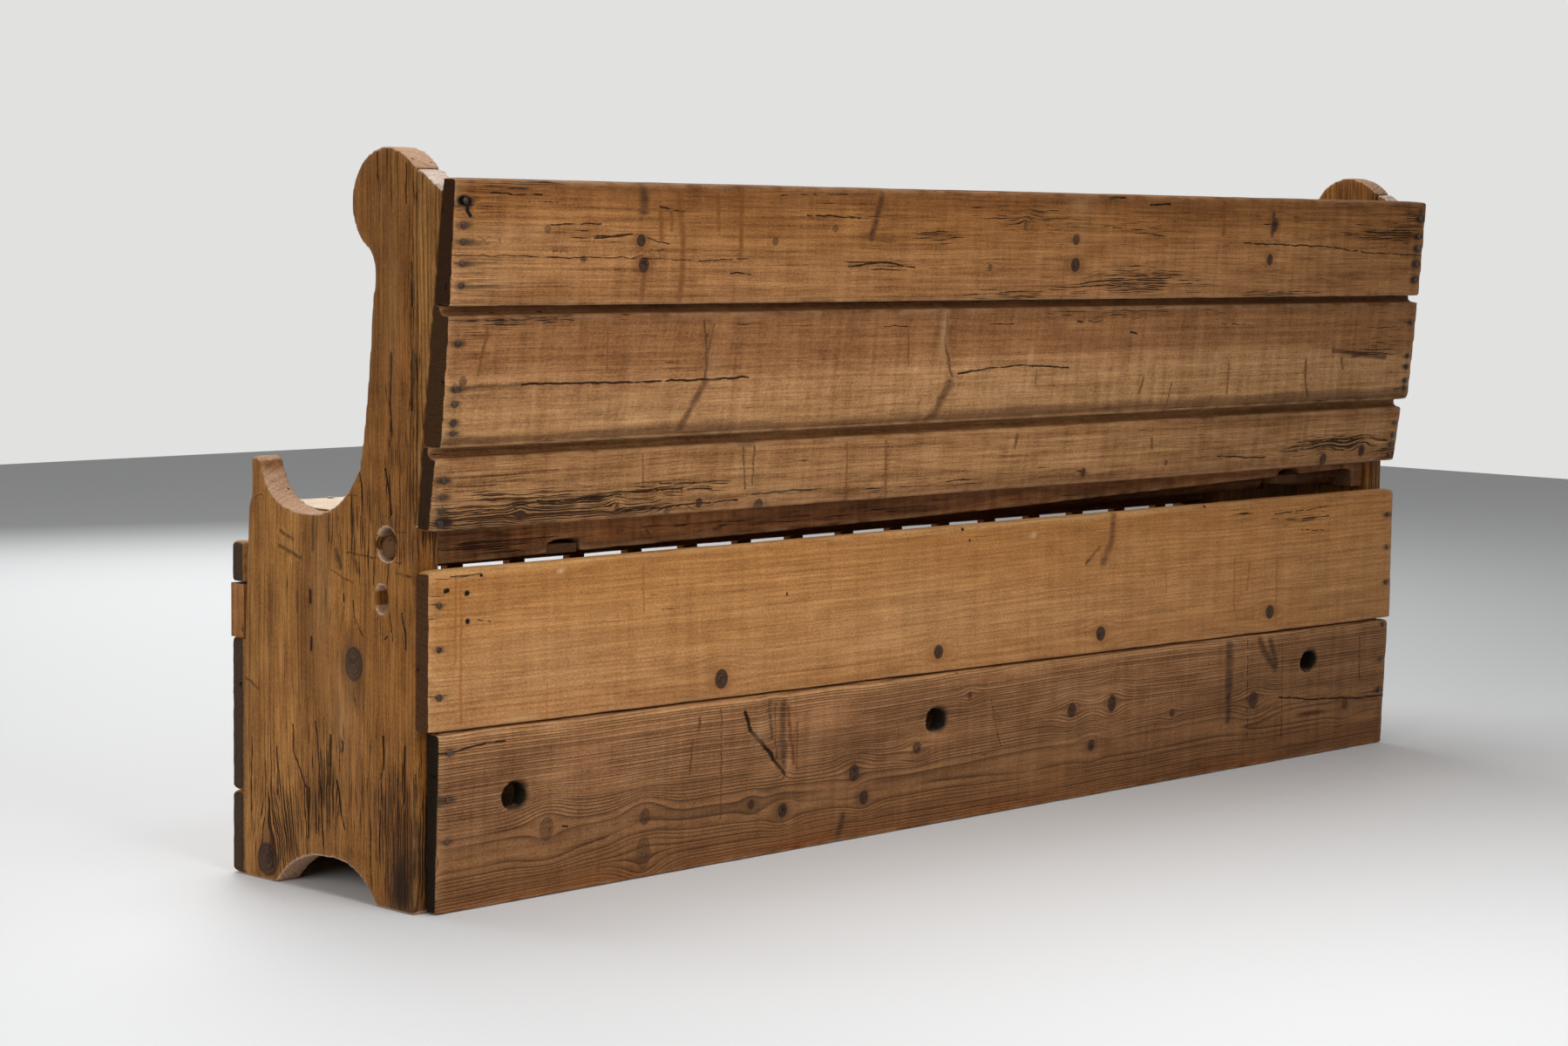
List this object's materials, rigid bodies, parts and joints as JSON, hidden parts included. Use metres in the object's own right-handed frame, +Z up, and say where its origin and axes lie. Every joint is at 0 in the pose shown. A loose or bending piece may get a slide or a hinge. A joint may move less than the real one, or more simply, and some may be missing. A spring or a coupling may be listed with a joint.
{
  "type": "box settle bench",
  "caption": "High-backed wooden box settle with shaped end planks, raked board back, slatted front and a lift-up seat on wooden pegs over a storage box.",
  "frame": {"origin": "middle of the bounding box on the floor", "axes": "+X along the bench, -Y the side from which people sit down, +Z up"},
  "size_m": [1.9, 0.4147, 0.863],
  "materials": {
    "plank_wood": "old waxed pine with dark checks and knots",
    "back_wood": "weathered grey-brown pine, rough",
    "rear_wood": "sawn pine, worn",
    "front_wood": "old waxed pine",
    "seat_wood": "scrubbed and worn pine",
    "inner_wood": "unfinished pine, dark with age",
    "iron": "rusty wrought iron"
  },
  "bodies": {
    "frame": {"end_panel_right": "plank_wood", "end_panel_left": "plank_wood", "back_wedge_right": "plank_wood", "back_wedge_left": "plank_wood", "back_board_lower": "back_wood", "back_board_middle": "back_wood", "back_board_top": "back_wood", "rear_board_upper": "rear_wood", "rear_board_lower": "rear_wood", "front_board_lower": "front_wood", "front_board_upper": "front_wood", "front_top_rail": "front_wood", "front_post_right": "front_wood", "front_post_left": "front_wood", "front_slat_01": "front_wood", "front_slat_02": "front_wood", "front_slat_03": "front_wood", "front_slat_04": "front_wood", "front_slat_05": "front_wood", "front_slat_06": "front_wood", "front_slat_07": "front_wood", "front_slat_08": "front_wood", "front_slat_09": "front_wood", "front_slat_10": "front_wood", "front_slat_11": "front_wood", "front_slat_12": "front_wood", "front_slat_13": "front_wood", "front_slat_14": "front_wood", "front_slat_15": "front_wood", "front_slat_16": "front_wood", "front_slat_17": "front_wood", "floor_board_front": "inner_wood", "floor_board_middle": "inner_wood", "floor_board_rear": "inner_wood", "floor_cleat_right": "inner_wood", "floor_cleat_left": "inner_wood", "floor_batten": "inner_wood", "back_board_nails": "iron", "rear_board_nails": "iron", "front_board_nails": "iron", "floor_nails": "iron"},
    "seat_lid": {"seat_board_front": "seat_wood", "seat_board_rear": "seat_wood", "seat_front_batten": "seat_wood", "seat_pivot_rail": "seat_wood", "seat_cross_batten_right": "seat_wood", "seat_cross_batten_left": "seat_wood", "seat_nails": "iron"}
  },
  "joints": [
    {"name": "seat_hinge", "type": "hinge", "parent": "frame", "child": "seat_lid", "pos_m": [0, 0.08776, 0.4127], "axis": [-1, 0, 0], "range_deg": [0, 99]}
  ]
}
